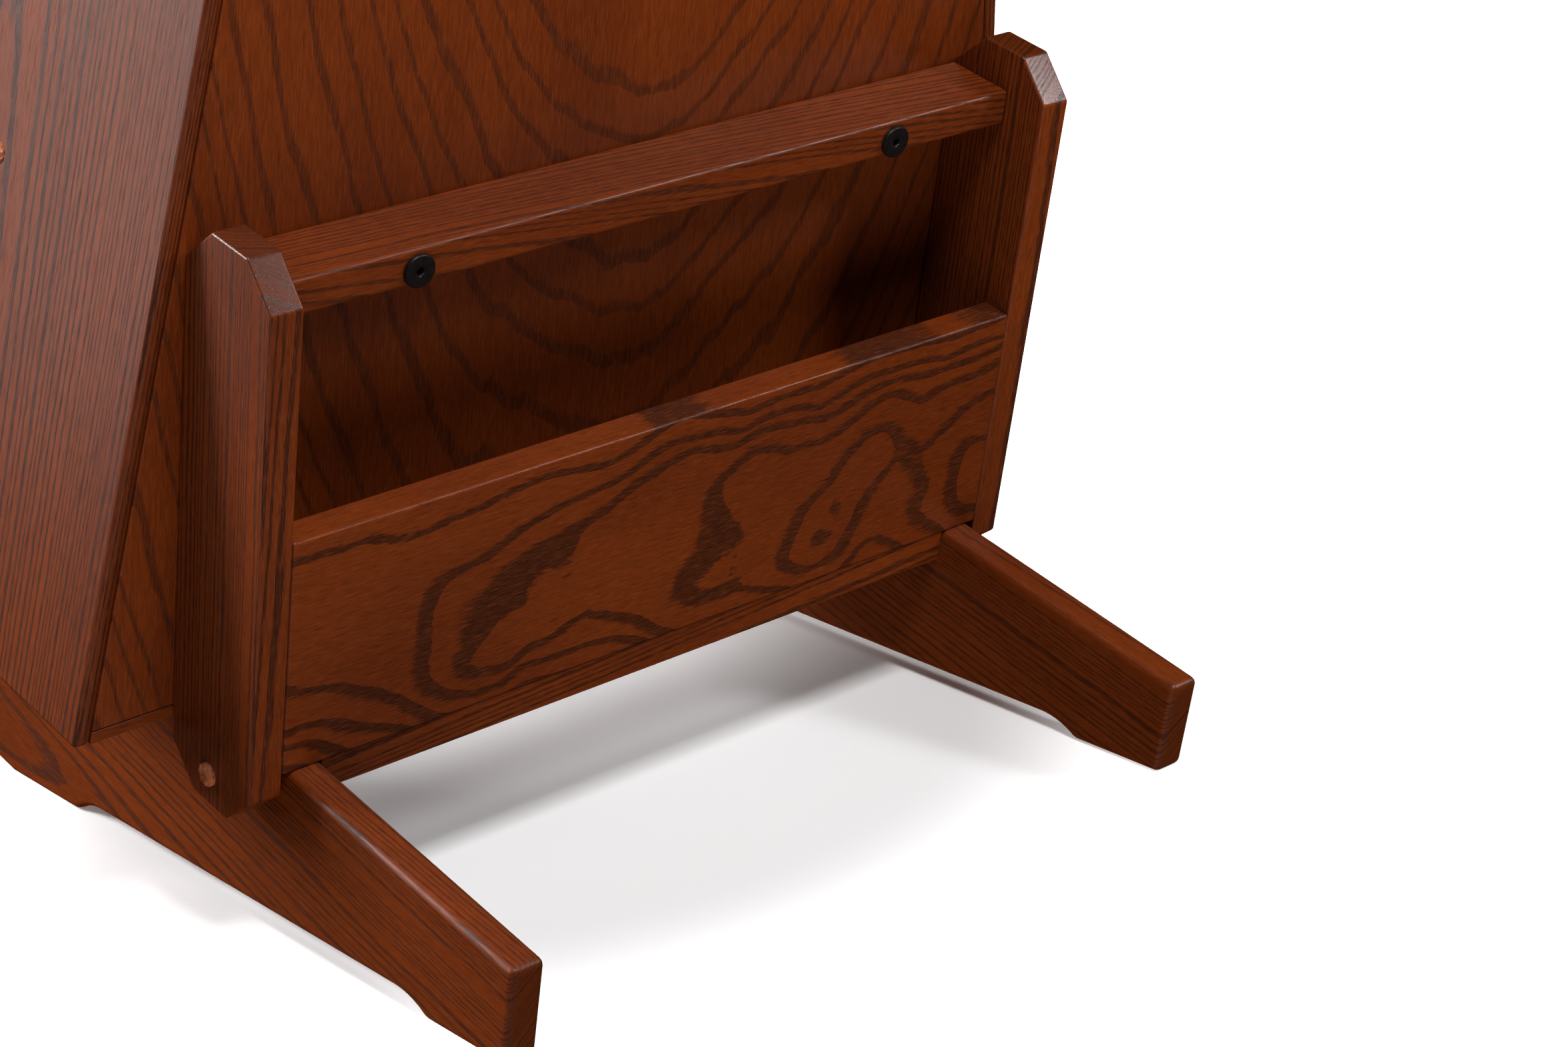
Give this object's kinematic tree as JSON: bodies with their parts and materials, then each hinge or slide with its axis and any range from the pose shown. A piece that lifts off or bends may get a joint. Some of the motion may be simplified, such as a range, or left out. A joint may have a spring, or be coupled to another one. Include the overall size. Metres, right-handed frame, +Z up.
{
  "type": "photo album stand",
  "caption": "Leaning tapered wooden cabinet with album bays on plank feet, and a shallow railed pocket on its back.",
  "frame": {"origin": "on the ground under the middle of the stand's box", "axes": "+Z up, the open bays face +Y, the pocket faces -Y, +X to the right seen from the pocket side"},
  "size_m": [0.6026, 0.5108, 0.8685],
  "materials": {
    "case_board": "satin stained ash",
    "panel_veneer": "satin stained ash veneer",
    "foot_plank": "satin stained ash",
    "pocket_board": "satin stained ash",
    "peg": "oiled end grain",
    "dowel": "bare beech",
    "black_steel": "black oxide, satin",
    "insert_brass": "plain"
  },
  "bodies": {
    "root": {"left_side_board": "case_board", "right_side_board": "case_board", "back_panel": "panel_veneer", "bottom_board": "case_board", "lower_shelf": "case_board", "upper_shelf": "case_board", "top_board": "case_board", "left_foot": "foot_plank", "right_foot": "foot_plank", "left_pocket_post": "pocket_board", "right_pocket_post": "pocket_board", "pocket_front_board": "pocket_board", "pocket_rail": "pocket_board", "pocket_floor": "foot_plank", "rail_bolts": "black_steel", "rail_inserts": "insert_brass", "case_bolts": "black_steel", "case_inserts": "insert_brass", "left_case_pegs": "peg", "right_case_pegs": "peg", "post_pegs": "peg", "front_board_dowels": "dowel", "rail_dowels": "dowel", "floor_dowels": "dowel"}
  },
  "joints": []
}
